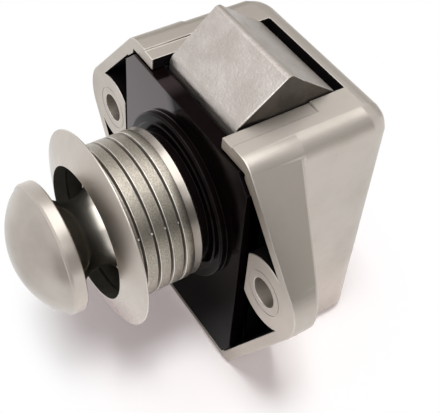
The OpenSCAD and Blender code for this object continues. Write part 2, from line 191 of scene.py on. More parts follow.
def spread(tree, value, low, high):
    """0 up to where a value is low, 1 from where it is high, and a smooth passage in between."""
    node = new_node(tree, "MapRange", Value=value, From_Min=low, From_Max=high)
    node.interpolation_type = "SMOOTHSTEP"
    return node.outputs["Result"]


# %% [markdown]
# ### Mottling
#
# No plated casting has one even colour. Slow, cloudy patches about as wide as a fingertip come
# from the bath and from handling. One noise with some detail gives them.

# %% Mottling group
mottle_group, mottle_in, mottle_out = new_group("mottling", {"Scale": 120.0}, "Patches")
patches = noise_node(mottle_group, mottle_in.outputs["Vector"], mottle_in.outputs["Scale"],
                     detail=4.0, roughness=0.62)
mottle_group.links.new(spread(mottle_group, patches, 0.32, 0.68), mottle_out.inputs["Patches"])

# %% [markdown]
# ### Casting grain
#
# Under the plating, cast zinc keeps the texture of its die: small soft bumps of uneven size.
# Two noises, one four times as fine, are added and used as a height for a Bump node.

# %% Casting grain group
grain_group, grain_in, grain_out = new_group("casting grain", {"Scale": 2200.0}, "Height")
coarse = noise_node(grain_group, grain_in.outputs["Vector"], grain_in.outputs["Scale"], roughness=0.55)
fine_scale = math_node(grain_group, "MULTIPLY", grain_in.outputs["Scale"], 4.0)
fine = noise_node(grain_group, grain_in.outputs["Vector"], fine_scale, detail=1.0)
half_fine = math_node(grain_group, "MULTIPLY", fine, 0.45)
grain_group.links.new(math_node(grain_group, "ADD", coarse, half_fine), grain_out.inputs["Height"])

# %% [markdown]
# ### Turning marks
#
# The knob and the rosette were finished on a lathe, and the tool leaves fine rings round the
# axis. A ring is a place with the same distance from the axis and the same place along it, so
# the noise is read at that pair of values and not at the point itself. The lock's turned pieces
# share one axis, Y.

# %% Turning marks group
turning_group, turning_in, turning_out = new_group("turning marks", {"Scale": 6000.0}, "Height")
parts = new_node(turning_group, "SeparateXYZ", Vector=turning_in.outputs["Vector"])
across = math_node(turning_group, "MULTIPLY", parts.outputs["X"], parts.outputs["X"])
upwards = math_node(turning_group, "MULTIPLY", parts.outputs["Z"], parts.outputs["Z"])
from_axis = math_node(turning_group, "SQRT", math_node(turning_group, "ADD", across, upwards))
ring_place = new_node(turning_group, "CombineXYZ", X=from_axis, Y=parts.outputs["Y"])
rings = noise_node(turning_group, ring_place.outputs["Vector"], turning_in.outputs["Scale"], roughness=0.6)
turning_group.links.new(rings, turning_out.inputs["Height"])

# %% [markdown]
# ### Worn edges
#
# Hands and boxes polish a metal part's edges first. When an edge is bevelled further down, its
# new faces are marked in a face attribute called edge. The group reads that mark and breaks it
# up with noise, so that the bright line isn't the same all along.

# %% Worn edges group
EDGE_MARK = "edge"
wear_group, wear_in, wear_out = new_group("worn edges", {"Scale": 500.0, "Amount": 0.7}, "Wear")
edge_mark = new_node(wear_group, "Attribute")
edge_mark.attribute_name = EDGE_MARK
broken = noise_node(wear_group, wear_in.outputs["Vector"], wear_in.outputs["Scale"],
                    detail=3.0, roughness=0.6)
kept = spread(wear_group, broken, 0.25, 0.6)
marked = math_node(wear_group, "MULTIPLY", edge_mark.outputs["Fac"], kept)
worn = math_node(wear_group, "MULTIPLY", marked, wear_in.outputs["Amount"], clamp=True)
wear_group.links.new(worn, wear_out.inputs["Wear"])

# %% [markdown]
# ### Handling scratches
#
# The flat sides of the case show short faint scuffs in several directions. Two noises that are
# stretched along different directions, and kept only at their peaks, look like such scuffs.

# %% Scratches group
scuff_group, scuff_in, scuff_out = new_group("scuffs", {"Scale": 260.0}, "Depth")
scuffs = None
for turn_x, turn_z in ((0.5, 0.35), (-0.8, 1.9)):
    turned_place = new_node(scuff_group, "Mapping", Vector=scuff_in.outputs["Vector"],
                            Rotation=(turn_x, 0.4, turn_z), Scale=(1.0, 1.0, 7.0))
    stroke = noise_node(scuff_group, turned_place.outputs["Vector"], scuff_in.outputs["Scale"],
                        roughness=0.7)
    peak = spread(scuff_group, stroke, 0.6, 0.74)
    scuffs = peak if scuffs is None else math_node(scuff_group, "MAXIMUM", scuffs, peak)
scuff_group.links.new(scuffs, scuff_out.inputs["Depth"])
print("node groups:", ", ".join(g.name for g in bpy.data.node_groups))

# %% [markdown]
# ## Materials
#
# Every finish is one Principled shader. The recipe below mixes two tints by the mottling, mixes
# in the worn colour at the edges, moves the roughness with both, and feeds the grain, the
# turning marks or the scuffs to Bump nodes. What is the same all over is set on the shader.

# %% Material recipe
EDGE_POLISH = 0.35  # how much smoother a fully worn edge is


def use_group(tree, group, **inputs):
    """Places a node group in a material and gives its inputs. Returns its output socket."""
    node = new_node(tree, "Group")
    node.node_tree = group
    for socket_name, value in inputs.items():
        feed(tree, value, node.inputs[socket_name])
    return node.outputs[0]


def mix_colours(tree, factor, first, second):
    """Mixes two colours. Each is an output socket or four numbers, and factor is a socket."""
    node = new_node(tree, "Mix", Factor=factor)
    node.data_type = "RGBA"
    # The node has sockets for numbers and vectors too. Its colours are inputs 6 and 7, output 2.
    feed(tree, first, node.inputs[6])
    feed(tree, second, node.inputs[7])
    return node.outputs[2]


def finish(name, tints, worn_tint, roughness, heights, patch_scale, wear=0.5, metallic=1.0,
           **shader_values):
    """A material. tints and roughness are pairs, for the two kinds of patches, and heights
    lists (group, scale, depth in millimetres) for the Bump nodes."""
    material = bpy.data.materials.new(name)
    material.use_nodes = True
    tree = material.node_tree
    place = new_node(tree, "TexCoord").outputs["Object"]
    patches = use_group(tree, mottle_group, Vector=place, Scale=patch_scale)
    wear_mask = use_group(tree, wear_group, Vector=place, Amount=wear)
    tint = mix_colours(tree, patches, *[(*colour, 1) for colour in tints])
    dulled = new_node(tree, "MapRange", Value=patches, To_Min=roughness[0], To_Max=roughness[1])
    keep = math_node(tree, "SUBTRACT", 1.0, math_node(tree, "MULTIPLY", wear_mask, EDGE_POLISH))
    normal = None
    for group, scale, depth in heights:
        height = use_group(tree, group, Vector=place, Scale=scale)
        bump = new_node(tree, "Bump", Distance=depth * MM, Height=height)
        if normal is not None:
            tree.links.new(normal, bump.inputs["Normal"])
        normal = bump.outputs["Normal"]
    shader_values.update(
        Base_Color=mix_colours(tree, wear_mask, tint, (*worn_tint, 1)),
        Roughness=math_node(tree, "MULTIPLY", dulled.outputs["Result"], keep),
        Metallic=metallic, Normal=normal)
    for socket_name, value in shader_values.items():
        feed(tree, value, tree.nodes["Principled BSDF"].inputs[socket_name.replace("_", " ")])
    return material


# %% [markdown]
# ### The lock's finishes
#
# The case is zinc with satin nickel plating, a warm light grey. The knob and the flange are the
# same plating over turned metal, smoother. The dome gets a duller, darker copy of it as painted
# shade, and the waist a brighter copy as a painted highlight. The sleeve was blasted before
# plating, so it is browner and speckled; its darker tone is partly painted shade, its bright groove
# edges are painted highlights, and its grooves get painted shade. The bolt is bare casting with
# the strongest grain, and its rough ends get a dark tint that is painted shade. The case's hollows
# and the rosette's bore get painted shade too. The front plate is glossy black plastic with a
# painted reflection at its upper left, and the pieces inside are dull black or plain steel.

# %% Nickel and casting finishes
BRIGHT_EDGE = (0.74, 0.71, 0.66)
DARK_EDGE = (0.5, 0.47, 0.43)
TURNED = (turning_group, 9000, 0.0012)
satin_nickel_cast = finish(
    "satin_nickel_cast", ((0.52, 0.475, 0.43), (0.47, 0.43, 0.385)), (0.66, 0.63, 0.59), (0.42, 0.50),
    [(grain_group, 1500, 0.006), (scuff_group, 200, 0.006)], patch_scale=90)
satin_nickel_turned = finish(
    "satin_nickel_turned", ((0.53, 0.485, 0.44), (0.48, 0.435, 0.39)), BRIGHT_EDGE, (0.26, 0.34),
    [TURNED, (grain_group, 3000, 0.001)], patch_scale=110, wear=0.6)
# painted shade: a darker copy of the turned plating for the dome
shaded_dome_nickel = finish(
    "shaded_dome_nickel", ((0.48, 0.44, 0.40), (0.38, 0.34, 0.305)), BRIGHT_EDGE, (0.28, 0.36),
    [TURNED, (grain_group, 3000, 0.001)], patch_scale=75, wear=0.6)
# painted highlight: a brighter copy of the turned plating for the waist, with less roughness
lit_waist_nickel = finish(
    "lit_waist_nickel", ((0.74, 0.69, 0.62), (0.62, 0.58, 0.52)), (0.80, 0.77, 0.71), (0.21, 0.26),
    [TURNED], patch_scale=110, wear=0.6)
# the blasted speckle is the sleeve's own; its darker tone is partly painted shade, and its bright worn
# edges on the groove shoulders are painted highlights
blasted_shaded_nickel = finish(
    "blasted_shaded_nickel", ((0.46, 0.42, 0.365), (0.25, 0.225, 0.185)), (0.88, 0.85, 0.79), (0.32, 0.44),
    [(grain_group, 5200, 0.006)], patch_scale=6500, wear=0.95)
# painted shade: a dark nickel for the shade in the narrow slots of the sleeve's grooves
shaded_groove_nickel = finish(
    "shaded_groove_nickel", ((0.26, 0.235, 0.20), (0.18, 0.16, 0.14)), DARK_EDGE, (0.35, 0.5),
    [(grain_group, 3000, 0.004)], patch_scale=400)
cast_bolt = finish(
    "cast_bolt", ((0.54, 0.495, 0.465), (0.43, 0.39, 0.36)), (0.66, 0.63, 0.60), (0.34, 0.46),
    [(grain_group, 900, 0.05), (grain_group, 3200, 0.03)], patch_scale=160)
# painted shade: a near black tint for the bolt's end faces, which are rough as well
shaded_bolt_end = finish(
    "shaded_bolt_end", ((0.13, 0.114, 0.10), (0.085, 0.075, 0.065)), DARK_EDGE, (0.42, 0.55),
    [(grain_group, 1500, 0.02)], patch_scale=260)

# %% Black and steel finishes
# painted shade: a dark olive that stands in for the shade inside the rosette's bore
painted_bore_shade = finish(
    "painted_bore_shade", ((0.034, 0.032, 0.023), (0.022, 0.021, 0.015)), (0.2, 0.2, 0.19), (0.5, 0.65),
    [(grain_group, 2500, 0.004)], patch_scale=300, wear=0.3, metallic=0.0)
# painted shade: a near black that stands in for the shade in the case's deep hollows
painted_hollow_shade = finish(
    "painted_hollow_shade", ((0.004, 0.003, 0.003), (0.003, 0.002, 0.002)), (0.03, 0.03, 0.028), (0.7, 0.85),
    [(grain_group, 1800, 0.01)], patch_scale=300, wear=0.3, metallic=0.0, Specular_IOR_Level=0.1)
glossy_black = finish(
    "glossy_black", ((0.0035, 0.0018, 0.002), (0.005, 0.0028, 0.003)), (0.03, 0.026, 0.026), (0.10, 0.18),
    [(grain_group, 700, 0.002)], patch_scale=200, wear=0.4, metallic=0.0, Specular_IOR_Level=0.05)
dull_black = finish(
    "dull_black", ((0.012, 0.012, 0.013), (0.018, 0.018, 0.02)), (0.06, 0.06, 0.06), (0.35, 0.5),
    [(grain_group, 2000, 0.004)], patch_scale=250, wear=0.4, metallic=0.0)
steel = finish(
    "steel", ((0.60, 0.60, 0.60), (0.50, 0.50, 0.51)), (0.8, 0.8, 0.8), (0.22, 0.36),
    [(grain_group, 5000, 0.002)], patch_scale=600, wear=0.6)
spring_steel = finish(
    "spring_steel", ((0.62, 0.62, 0.63), (0.45, 0.45, 0.47)), (0.8, 0.8, 0.8), (0.18, 0.3),
    [(grain_group, 6000, 0.001)], patch_scale=900)
print("materials:", ", ".join(m.name for m in bpy.data.materials))

# %% [markdown]
# ## Bench helpers
#
# Every operator acts on what is selected, and loading the frame leaves the CAD nodes selected.
# So a piece is always picked alone first. Pieces are shaped in edit mode, and a few helpers keep
# the same steps from being written again for each one.

# %% Bench helpers
def pick(piece):
    """Selects one object alone and makes it the active one."""
    bpy.ops.object.select_all(action="DESELECT")
    piece.select_set(True)
    bpy.context.view_layer.objects.active = piece
    return piece


def edit(piece, mode="VERT", everything=False):
    """Opens a piece in edit mode with nothing or everything selected."""
    pick(piece)
    bpy.ops.object.mode_set(mode="EDIT")
    bpy.ops.mesh.select_mode(type=mode)
    bpy.ops.mesh.select_all(action="SELECT" if everything else "DESELECT")


def close(piece):
    """Leaves edit mode."""
    bpy.ops.object.mode_set(mode="OBJECT")
    return piece


def weld(distance=0.0005):
    """Selects everything and merges the vertices that are closer than this, in millimetres."""
    bpy.ops.mesh.select_all(action="SELECT")
    bpy.ops.mesh.remove_doubles(threshold=distance * MM)


def select_where(piece, kind, test):
    """Selects the vertices, edges or faces whose middle passes a test, from inside edit mode.
    The test gets the middle in millimetres, and a face's normal or an edge's direction."""
    bpy.ops.mesh.select_all(action="DESELECT")
    bpy.ops.object.mode_set(mode="OBJECT")
    mesh = piece.data
    if kind == "polygons":
        for face in mesh.polygons:
            face.select = test(face.center / MM, face.normal)
    elif kind == "edges":
        for edge in mesh.edges:
            first, last = (mesh.vertices[i].co for i in edge.vertices)
            edge.select = test((first + last) / (2 * MM), (last - first).normalized())
    else:
        for vertex in mesh.vertices:
            vertex.select = test(vertex.co / MM, None)
    bpy.ops.object.mode_set(mode="EDIT")


# %% Finishing helpers
def coat(piece, *materials, choose=None):
    """Gives a piece its materials. All faces get the first one, unless choose picks one for
    each face, from the face's middle in millimetres and its normal."""
    piece.data.materials.clear()
    for material in materials:
        piece.data.materials.append(material)
    for face in piece.data.polygons:
        chosen = materials.index(choose(face.center / MM, face.normal)) if choose else 0
        face.material_index = chosen


def mark_faces(piece, values):
    """Writes the mark of worn edges, one value for each face."""
    mark = piece.data.attributes.get(EDGE_MARK) or piece.data.attributes.new(EDGE_MARK, "FLOAT", "FACE")
    mark.data.foreach_set("value", values)


def shade(piece, angle=32):
    """Smooth shading up to an angle, weighted by area so that flat faces stay flat."""
    pick(piece)
    bpy.ops.object.shade_smooth_by_angle(angle=math.radians(angle))
    weighted = piece.modifiers.new("flat faces", "WEIGHTED_NORMAL")
    weighted.weight = 100
    weighted.keep_sharp = True
    bpy.ops.object.modifier_apply(modifier=weighted.name)
    return piece


def soften(piece, width, angle=30, segments=2, smooth_angle=32, spare=None):
    """Rounds every edge sharper than angle by width millimetres, and marks the new faces.
    Edges whose middle passes the test spare stay sharp."""
    coat(piece, steel, dull_black)  # the bevel gives its faces the second one, to tell them apart
    edit(piece, "EDGE")
    bpy.ops.mesh.edges_select_sharp(sharpness=math.radians(angle))
    bpy.ops.transform.edge_bevelweight(value=1.0)
    if spare:
        select_where(piece, "edges", spare)
        bpy.ops.transform.edge_bevelweight(value=-1.0)
    close(piece)
    bevel = piece.modifiers.new("soft edges", "BEVEL")
    bevel.width = width * MM
    bevel.segments = segments
    bevel.limit_method = "WEIGHT"
    bevel.use_clamp_overlap = False
    bevel.material = 1
    bpy.ops.object.modifier_apply(modifier=bevel.name)
    mark_faces(piece, [float(face.material_index) for face in piece.data.polygons])
    coat(piece)
    return shade(piece, smooth_angle)


def dress(piece, body, material, slot_name, *stands_for):
    """Gives a piece its material and its body, and hides the nodes that it stands for. A piece that
    has its materials already gets None. slot_name is not used."""
    if material is not None:
        coat(piece, material)
    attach(piece, body)
    if stands_for:
        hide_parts(*stands_for)
    triangles = sum(len(face.vertices) - 2 for face in piece.data.polygons)
    print(f"{piece.name}: {triangles} triangles, rides on {body}")
    return piece


# %% [markdown]
# ### Copying a cast or moulded shape
#
# The case and the plastic mouldings have many holes, pockets and posts, all at sizes that
# matter. Drawing them again could only make them less exact, so each starts from a copy of its
# CAD node. The node's mesh is loose triangles: the copy is merged and its flat faces are made
# whole, so that a bevel can run cleanly round every edge.

# %% Copy helper
FLAT = math.radians(0.6)  # faces that meet at less than this become one


def whole_faces(piece, distance):
    """Merges close vertices and makes flat faces whole."""
    edit(piece)
    weld(distance)
    bpy.ops.mesh.dissolve_limited(angle_limit=FLAT)
    return close(piece)


def cast_copy(node, name):
    """A merged copy of a CAD node, with whole flat faces."""
    return whole_faces(add(name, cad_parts[node].data.copy()), 0.002)


# %% [markdown]
# ### Turning a piece
#
# A lathe part is its profile swept round the axis. The profile is a chain of points, each a
# radius and a place along Y. It starts as one vertex, is extruded from point to point and spun.

# %% Lathe helpers
def arc(centre, radius, start, end, steps):
    """Points of an arc in a profile, as (radius from the axis, place along Y), in millimetres."""
    turns = [math.radians(start + (end - start) * i / steps) for i in range(steps + 1)]
    return [(centre[0] + radius * math.cos(t), centre[1] + radius * math.sin(t)) for t in turns]


def plane(name, size=MM):
    """A flat square at the origin."""
    bpy.ops.object.select_all(action="DESELECT")
    bpy.ops.mesh.primitive_plane_add(size=size, location=(0, 0, 0))
    bpy.context.object.name = name
    return bpy.context.object


def chain(name, points):
    """A piece that is one line from point to point, in edit mode and all selected."""
    piece = plane(name)
    edit(piece, everything=True)
    bpy.ops.mesh.merge(type="CENTER")
    bpy.ops.transform.translate(value=points[0])
    for here, there in zip(points, points[1:]):
        bpy.ops.mesh.extrude_region_move(TRANSFORM_OT_translate={"value": there - here})
    weld()
    return piece


def turn(name, profile, steps=144, closed=False):
    """Spins a profile round the Y axis. A closed profile gives a ring, an open one ends on the axis."""
    points = [mm(radius, place, 0) for radius, place in profile]
    piece = chain(name, points + points[:1] if closed else points)
    bpy.ops.mesh.spin(steps=steps, angle=math.tau, center=(0, 0, 0), axis=(0, 1, 0))
    weld()
    bpy.ops.mesh.normals_make_consistent(inside=False)
    return close(piece)


# %% [markdown]
# ## Case
#
# The case is a zinc casting: a box that is open at the front, with two hollow ears round the
# screw bosses and a slot for the bolt. Its rounded edges run softly into each other, as on
# anything that has to leave a die. The copy of its CAD node has the sizes right, but its back
# corners are creased and the rear edges of its ears are hard.
#
# Both are cured in the same way. A block is made that is round where the case should be. A box
# minus that block is then everything that has to go, and it is cut off the case.

# %% Trimming helpers
def block_at(name, middle, size):
    """A block with a given middle and size, in millimetres."""
    bpy.ops.object.select_all(action="DESELECT")
    bpy.ops.mesh.primitive_cube_add(size=MM, location=(0, 0, 0))
    piece = bpy.context.object
    piece.name = name
    edit(piece, everything=True)
    bpy.ops.transform.resize(value=size, center_override=(0, 0, 0))
    bpy.ops.transform.translate(value=mm(*middle))
    return close(piece)


def block_between(name, low, high):
    """A block between two corners, in millimetres."""
    middle = [(a + b) / 2 for a, b in zip(low, high)]
    return block_at(name, middle, [b - a for a, b in zip(low, high)])


def carve(piece, cutter):
    """Cuts the space of a cutter out of a piece, and removes the cutter."""
    cut = pick(piece).modifiers.new("cut", "BOOLEAN")
    cut.operation = "DIFFERENCE"
    cut.object = cutter
    bpy.ops.object.modifier_apply(modifier=cut.name)
    bpy.data.objects.remove(cutter)
    return piece


def trim(piece, block, low, high, mirrored=False):
    """Cuts off what lies outside a block and inside a box, or their mirror image."""
    waste = carve(block_between("waste", low, high), block)
    if mirrored:
        edit(waste, everything=True)
        bpy.ops.transform.mirror(constraint_axis=(True, False, False), center_override=(0, 0, 0))
        bpy.ops.mesh.flip_normals()
        close(waste)
    return carve(piece, waste)


# %% [markdown]
# The outline of an ear is an arc round the screw hole and the two tangents that run from it to
# the box. It is drawn as a chain of points, filled and extruded, and a bisect gives the block
# its slanted back. The edges of that back then get a round bevel.

# %% Rear edges of the ears
CASE_HALF = 15.1
SCREW_HOLE_X = 20.1
EAR_R = 6.62
EAR_TIP_BACK = 3.9
ear_back_slope = 0.33
ear_upper, ear_lower = math.radians(40.3), math.radians(-29.1)
ear_round = 0.9
clear = 0.02
far_off = 30  # further than the ear reaches
ear_back = Vector((ear_back_slope, 1, 0)).normalized()
ear_root_y = EAR_TIP_BACK + ear_back_slope * (SCREW_HOLE_X + EAR_R - CASE_HALF)


def ear_block():
    """A block with the outline and the slanted back of the right ear, and a round rear edge."""
    rim = arc((SCREW_HOLE_X, 0), EAR_R + clear, math.degrees(ear_lower), math.degrees(ear_upper), 24)
    low_end = (rim[0][0] + far_off * math.sin(ear_lower), rim[0][1] - far_off * math.cos(ear_lower))
    high_end = (rim[-1][0] - far_off * math.sin(ear_upper), rim[-1][1] + far_off * math.cos(ear_upper))
    block = chain("ear_block", [mm(x, -3, z) for x, z in [low_end] + rim + [high_end]])
    bpy.ops.mesh.edge_face_add()
    bpy.ops.mesh.extrude_region_move(TRANSFORM_OT_translate={"value": mm(0, far_off, 0)})
    bpy.ops.mesh.select_all(action="SELECT")
    bpy.ops.mesh.normals_make_consistent(inside=False)
    tip = Vector((SCREW_HOLE_X + EAR_R, EAR_TIP_BACK + clear, 0))
    bpy.ops.mesh.bisect(plane_co=tip * MM, plane_no=ear_back, use_fill=True, clear_outer=True)
    bpy.ops.mesh.select_mode(type="EDGE")
    select_where(block, "edges", lambda co, _: (
        abs((co - tip).dot(ear_back)) < 0.01 and co.x > CASE_HALF - 5))
    bpy.ops.mesh.bevel(offset=ear_round * MM, segments=6)
    return close(block)


ear_low, ear_high = (CASE_HALF + clear / 2, 1, -23.4), (28, 11, 18)
case_casting = cast_copy("case_shell", "case_casting")
for mirrored in (False, True):
    trim(case_casting, ear_block(), ear_low, ear_high, mirrored)
print("case with rounded ears:", len(case_casting.data.polygons), "faces")

# %% [markdown]
# The block for the back corners is a cube. Five of its edges get bevels of different widths in
# one go, by their bevel weights, and where three of them meet, the Bevel tool blends them into a
# patch much like a part of a ball.

# %% Back corners of the case
CASE_TOP = 17.7
CASE_BACK = 23.0
TOP_EDGE_R = 3.1
SIDE_EDGE_R = 4.0
BACK_EDGE_R = 5.0
far = (CASE_HALF + clear, CASE_BACK + clear, CASE_TOP + clear)
block = block_between("block", (-far[0], 0, 0), far)
for axis, radius in ((1, TOP_EDGE_R), (2, SIDE_EDGE_R), (0, BACK_EDGE_R)):
    edit(block, "EDGE")
    select_where(block, "edges", lambda co, along: (
        abs(along[axis]) > 0.9 and all(abs(co[i]) > far[i] - 0.01 for i in range(3) if i != axis)))
    bpy.ops.transform.edge_bevelweight(value=(radius + clear) / (BACK_EDGE_R + clear))
    close(block)
blend = pick(block).modifiers.new("blend", "BEVEL")
blend.width = (BACK_EDGE_R + clear) * MM
blend.segments = 18
blend.limit_method = "WEIGHT"
bpy.ops.object.modifier_apply(modifier=blend.name)
trim(case_casting, block, (-far[0] - 1, ear_root_y + 0.15, 11), [value + 1 for value in far])
print("case after both cuts:", len(case_casting.data.polygons), "faces")

# %% [markdown]
# On the real one no edge is sharp, because the die and the plating round them, and each edge
# shows as a thin line. A narrow bevel on every sharp edge gives those lines as real faces. It
# leaves a few places alone: where the back of an ear runs out into the foot and into the top, a
# ledge too low for it, and the rims of the screws' recesses, which touch the rounded corners.
# Each place but the rims is a box in the right half of the case, and its mirror image.

# %% Soft edges of the case
whole_faces(case_casting, 0.03)
ANY = 99  # further out than the lock reaches
POST_PLACES = [(x, z) for x in (-11.5, 11.5) for z in (11, -17.5)]
recess_front = 21.5
recess_reach = 1.9
ear_at_foot = ((12.3, 7.4, -ANY), (ANY, 8.2, -21.5))
ear_at_top = ((12, ear_root_y - 1.3, 13.5), (16.6, ear_root_y + 1.3, ANY))
low_ledge = ((-ANY, 18.9, CASE_TOP - 0.3), (ANY, 19.1, ANY))


def inside(co, low, high):
    """Whether a place or its mirror image lies in the box between two corners."""
    return all(a < value < b for a, value, b in zip(low, (abs(co.x), co.y, co.z), high))


def runs_out(co, _):
    """Whether an edge runs out into a flat face, or is the rim of a screw's recess."""
    to_recess = min(math.hypot(co.x - x, co.z - z) for x, z in POST_PLACES)
    at_recess = co.y > recess_front and to_recess < recess_reach
    return at_recess or any(inside(co, *box) for box in (ear_at_foot, ear_at_top, low_ledge))


soften(case_casting, width=0.13, spare=runs_out)
print("case with soft edges:", len(case_casting.data.polygons), "faces")

# %% [markdown]
# Round each screw hole the boss has one fine engraved ring, left by the tool that dressed it.
# A thin ring is turned, moved over each hole and cut out with a Boolean, after the bevel, which
# would otherwise eat such a narrow groove.

# %% Rings round the screw holes
ring_in, ring_out = 3.19, 3.31
ring_depth = 0.06
ring_profile = [(ring_in, -0.5), (ring_out, -0.5), (ring_out, ring_depth), (ring_in, ring_depth)]
for side in (-1, 1):
    cutter = turn("ring_cutter", ring_profile, steps=96, closed=True)
    edit(cutter, everything=True)
    bpy.ops.transform.translate(value=mm(side * SCREW_HOLE_X, 0, 0))
    carve(case_casting, close(cutter))
shade(case_casting)

# %% [markdown]
# The inside of the box, of the slot and of the ears gets a near black finish of its own, which is
# painted shade for the shade that falls into these deep hollows. Those faces are told by the box
# that they lie in, and in an ear by their distance from its outline. The walls of the screw holes
# stay plated.

# %% Case finishes
hollow = ((-ANY, 0.6, -22.4), (13.6, 21.1, 15.75))
slot = ((-ANY, 1, 15.7), (8.8, ANY, ANY))
slot_back = 12
ear = ((13.5, 0.3, -ANY), (ANY, 7.5, ANY))
ear_wall = 1.45
screw_hole_reach = 2.6
STEEP = 0.6  # a face looks along an axis where its normal has more than this of it


def case_finish(co, normal):
    """Painted shade in the box, in the slot and in the hollow of an ear, and plated elsewhere."""
    wall_of_slot = abs(normal.x) > STEEP or (co.y > slot_back and normal.y < -STEEP)
    from_hole = Vector((abs(co.x) - SCREW_HOLE_X, co.z))
    turn_to = min(max(math.atan2(from_hole.y, from_hole.x), ear_lower), ear_upper)
    reach = from_hole.dot(Vector((math.cos(turn_to), math.sin(turn_to))))
    in_screw_hole = from_hole.length < screw_hole_reach and normal.y > -STEEP
    in_ear = inside(co, *ear) and reach < EAR_R - ear_wall and normal.y < STEEP
    in_slot = inside(co, *slot) and wall_of_slot
    # the faces in these hollows get painted shade
    dark = inside(co, *hollow) or in_slot or (in_ear and not in_screw_hole)
    return painted_hollow_shade if dark else satin_nickel_cast


coat(case_casting, satin_nickel_cast, painted_hollow_shade, choose=case_finish)
print("dark faces:", sum(face.material_index for face in case_casting.data.polygons))
dress(case_casting, "case", None, "satin_nickel_case", "case_shell")

# %% [markdown]
# ## Front plate
#
# One black moulding closes the case: a flat plate with a collar, a threaded barrel and four
# screw posts. The copy keeps the plate and the posts. Its barrel is cut off with a bisect and
# made again, because the CAD thread is a row of rings and the real one is a helix.
#
# The plate has its own finish, with a painted reflection: its upper left mirrors strongly with a
# pink tint, which gives a painted brown sheen, and the rest hardly at all, so the strength of its
# mirroring fades with the distance from a point there.

# %% Plate and posts
PLATE_PROUD = 0.4
plate_front_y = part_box("front_plate")[0].y / MM
cut_place = mm(0, -PLATE_PROUD - 0.15, 0)
plate_moulding = cast_copy("front_plate", "plate_moulding")
edit(plate_moulding, everything=True)
bpy.ops.mesh.bisect(plane_co=cut_place, plane_no=(0, -1, 0), use_fill=True, clear_outer=True)
close(plate_moulding)
soften(plate_moulding, width=0.12)

# %% Plate finish
# painted reflection: the plate mirrors strongly round this point, less with distance from it
PAINTED_REFLECTION_PLACE = (-14, 0, 8)
PAINTED_REFLECTION_NEAR = 11.4
PAINTED_REFLECTION_FAR = 14
PAINTED_REFLECTION = 0.5
LEAST_SHEEN = 0.03


def distance_node(tree, point):
    """How far a place is from a point, in metres. The point is given in millimetres."""
    node = new_node(tree, "VectorMath")
    node.operation = "DISTANCE"
    feed(tree, new_node(tree, "TexCoord").outputs["Object"], node.inputs[0])
    feed(tree, mm(*point), node.inputs[1])
    return node.outputs["Value"]


plate_black = glossy_black.copy()
plate_black.name = "plate_black"
tree = plate_black.node_tree
shader = tree.nodes["Principled BSDF"]
faded = spread(tree, distance_node(tree, PAINTED_REFLECTION_PLACE), PAINTED_REFLECTION_NEAR * MM, PAINTED_REFLECTION_FAR * MM)
painted_reflection = math_node(tree, "MULTIPLY", math_node(tree, "SUBTRACT", 1.0, faded), PAINTED_REFLECTION)
feed(tree, math_node(tree, "ADD", painted_reflection, LEAST_SHEEN), shader.inputs["Specular IOR Level"])
# the pink tint of the painted reflection
feed(tree, (1, 0.68, 0.72, 1), shader.inputs["Specular Tint"])
dress(plate_moulding, "case", plate_black, "black_plastic", "front_plate")

# %% [markdown]
# ### Barrel with its thread
#
# The barrel is a turned tube with a stepped collar at its foot. The step lies low enough to stay
# clear of the rosette when that is screwed in all the way. The thread is a small ridge that the
# Screw modifier winds round the tube, one pitch further with each turn.

# %% Barrel
BORE_R = 8.4
BARREL_R = 9.9
COLLAR_R = 12.2
COLLAR_Y = -1.5
foot_y = -0.45
step_y = COLLAR_Y - 0.15
thread_pitch = 1.0
thread_height = 0.35
root_r = BARREL_R - thread_height
barrel_threaded = turn("barrel_threaded", [
    (BORE_R, foot_y), (BORE_R, plate_front_y + 0.15), (BORE_R + 0.15, plate_front_y),
    (root_r - 0.3, plate_front_y), (root_r, plate_front_y + 0.3), (root_r, step_y),
    (root_r + 0.3, step_y), (COLLAR_R - 1.4, step_y), (COLLAR_R - 1.3, COLLAR_Y),
    (COLLAR_R - 0.25, COLLAR_Y), (COLLAR_R, COLLAR_Y + 0.25), (COLLAR_R, foot_y)], closed=True)
soften(barrel_threaded, width=0.08)
dress(barrel_threaded, "case", glossy_black, "black_plastic", "front_plate")

# %% Thread on the barrel
crest_r = BARREL_R - 0.03
inner_r = root_r - 0.1
ridge = [(inner_r, 0), (root_r, 0), (crest_r, 0.28), (crest_r, 0.42), (root_r, 0.7), (inner_r, 0.7)]
thread_start = plate_front_y + 0.55
thread_turns = 7
ridge_points = [mm(radius, 0, -(thread_start + place)) for radius, place in ridge]
barrel_thread = close(chain("barrel_thread", ridge_points + ridge_points[:1]))
winding = barrel_thread.modifiers.new("thread", "SCREW")
winding.axis = "Z"
winding.angle = math.tau * thread_turns
winding.screw_offset = -thread_pitch * thread_turns * MM
winding.steps = 72 * thread_turns
winding.render_steps = winding.steps
bpy.ops.object.modifier_apply(modifier=winding.name)
edit(barrel_thread, "EDGE")
weld()
bpy.ops.mesh.select_all(action="DESELECT")
bpy.ops.mesh.select_non_manifold()
bpy.ops.mesh.edge_face_add()
bpy.ops.mesh.select_all(action="SELECT")
bpy.ops.transform.rotate(value=math.radians(-90), orient_axis="X", center_override=(0, 0, 0))
bpy.ops.mesh.normals_make_consistent(inside=False)
close(barrel_thread)
along_y = [vertex.co.y / MM for vertex in barrel_thread.data.vertices]
print("thread along Y:", round(min(along_y), 2), "to", round(max(along_y), 2))
bpy.ops.object.shade_smooth_by_angle(angle=math.radians(25))
dress(barrel_thread, "case", glossy_black, "black_plastic", "front_plate")

